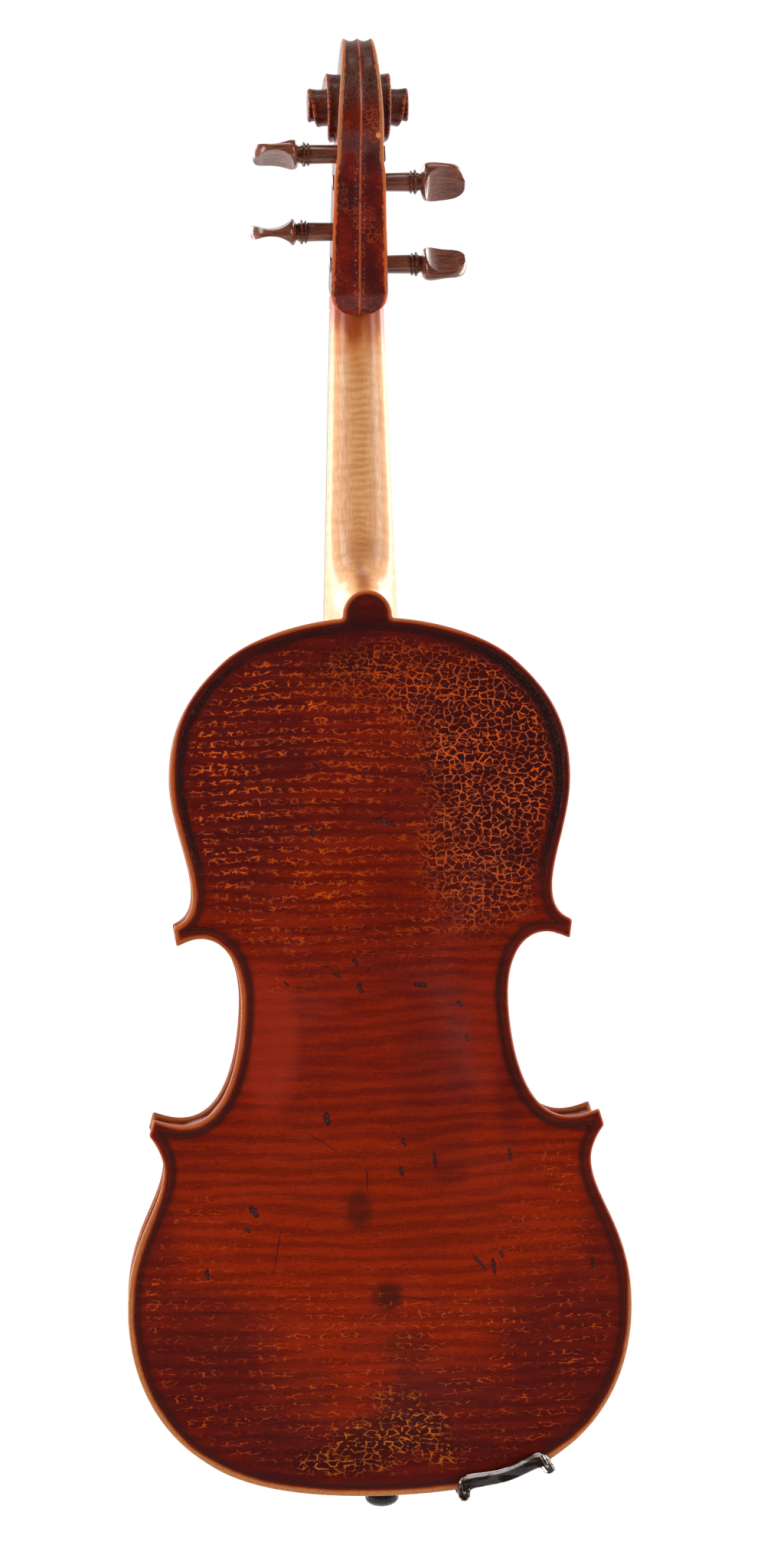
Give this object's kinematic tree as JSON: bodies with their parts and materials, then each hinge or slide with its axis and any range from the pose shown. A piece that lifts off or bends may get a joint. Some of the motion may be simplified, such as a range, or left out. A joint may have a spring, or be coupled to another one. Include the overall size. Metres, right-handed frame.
{
  "type": "viola",
  "caption": "Viola with arched back and top, ribs, carved scroll, friction tuning pegs, strings, bridge, tailpiece and a clamped chin rest.",
  "frame": {"origin": "under the volutes of the scroll on the centre line, where a hanger holds the instrument", "axes": "+X across towards the bass side, +Y from the back towards the strings, +Z along the body towards the scroll"},
  "size_m": [0.2356, 0.1264, 0.6883],
  "materials": {
    "varnished_maple": "flamed maple under a crackled, worn red-brown varnish",
    "varnished_spruce": "straight-grained spruce under a red-brown varnish",
    "neck_maple": "bare oiled maple, with dark varnish on the head",
    "pale_wood": "bare spruce and willow, not varnished",
    "ebony": "polished ebony",
    "bridge_maple": "bare maple",
    "rosewood": "polished rosewood",
    "string_steel": "wound strings",
    "tailgut_cord": "black cord",
    "cork": "cork lining",
    "clamp_chrome": "polished plating"
  },
  "bodies": {
    "instrument": {"back_plate": "varnished_maple", "rib_lower_bass": "varnished_maple", "rib_lower_treble": "varnished_maple", "rib_waist_bass": "varnished_maple", "rib_waist_treble": "varnished_maple", "rib_upper_bass": "varnished_maple", "rib_upper_treble": "varnished_maple", "top_plate": "varnished_spruce", "upper_block": "pale_wood", "lower_block": "pale_wood", "bass_bar": "pale_wood", "sound_post": "pale_wood", "corner_block_lower_bass": "pale_wood", "corner_block_lower_treble": "pale_wood", "corner_block_upper_bass": "pale_wood", "corner_block_upper_treble": "pale_wood", "lining_back_lower_bass": "pale_wood", "lining_back_lower_treble": "pale_wood", "lining_back_waist_bass": "pale_wood", "lining_back_waist_treble": "pale_wood", "lining_back_upper_bass": "pale_wood", "lining_back_upper_treble": "pale_wood", "lining_top_lower_bass": "pale_wood", "lining_top_lower_treble": "pale_wood", "lining_top_waist_bass": "pale_wood", "lining_top_waist_treble": "pale_wood", "lining_top_upper_bass": "pale_wood", "lining_top_upper_treble": "pale_wood", "neck": "neck_maple", "fingerboard": "ebony", "nut": "ebony", "saddle": "ebony", "tailpiece": "ebony", "end_button": "ebony", "chin_rest": "ebony", "bridge": "bridge_maple", "string_c": "string_steel", "string_g": "string_steel", "string_d": "string_steel", "string_a": "string_steel", "tailgut": "tailgut_cord", "chin_rest_cork": "cork", "clamp_bracket": "clamp_chrome"},
    "tuning_peg_c": {"peg_c": "rosewood", "winding_c": "string_steel"},
    "tuning_peg_g": {"peg_g": "rosewood", "winding_g": "string_steel"},
    "tuning_peg_d": {"peg_d": "rosewood", "winding_d": "string_steel"},
    "tuning_peg_a": {"peg_a": "rosewood", "winding_a": "string_steel"},
    "clamp_turnbuckle_1": {"clamp_barrel_1": "clamp_chrome"},
    "clamp_turnbuckle_2": {"clamp_barrel_2": "clamp_chrome"},
    "clamp_jaw": {"clamp_foot": "clamp_chrome", "clamp_foot_liner": "cork"}
  },
  "joints": [
    {"name": "peg_c_turn", "type": "hinge", "parent": "instrument", "child": "tuning_peg_c", "pos_m": [0, 0.01658, -0.05459], "axis": [1, 0, 0], "continuous": true},
    {"name": "peg_g_turn", "type": "hinge", "parent": "instrument", "child": "tuning_peg_g", "pos_m": [0, -0.0005, -0.01857], "axis": [1, 0, 0], "continuous": true},
    {"name": "peg_d_turn", "type": "hinge", "parent": "instrument", "child": "tuning_peg_d", "pos_m": [0, -0.00723, -0.00645], "axis": [1, 0, 0], "continuous": true},
    {"name": "peg_a_turn", "type": "hinge", "parent": "instrument", "child": "tuning_peg_a", "pos_m": [0, 0.00999, -0.03994], "axis": [1, 0, 0], "continuous": true},
    {"name": "turnbuckle_1_turn", "type": "hinge", "parent": "instrument", "child": "clamp_turnbuckle_1", "pos_m": [0.04738, 0.02027, -0.62993], "axis": [0, 1, 0], "range_deg": [0, 1080]},
    {"name": "turnbuckle_2_turn", "type": "hinge", "parent": "instrument", "child": "clamp_turnbuckle_2", "pos_m": [0.07757, 0.02027, -0.61967], "axis": [0, 1, 0], "range_deg": [0, 1080]},
    {"name": "clamp_jaw_slide", "type": "slide", "parent": "instrument", "child": "clamp_jaw", "axis": [0, -1, 0], "range_m": [0, 0.003]}
  ],
  "couplings": [
    {"joint": "turnbuckle_1_turn", "follows": "clamp_jaw_slide", "rad_per_m": 6283.2},
    {"joint": "turnbuckle_2_turn", "follows": "clamp_jaw_slide", "rad_per_m": 6283.2}
  ]
}
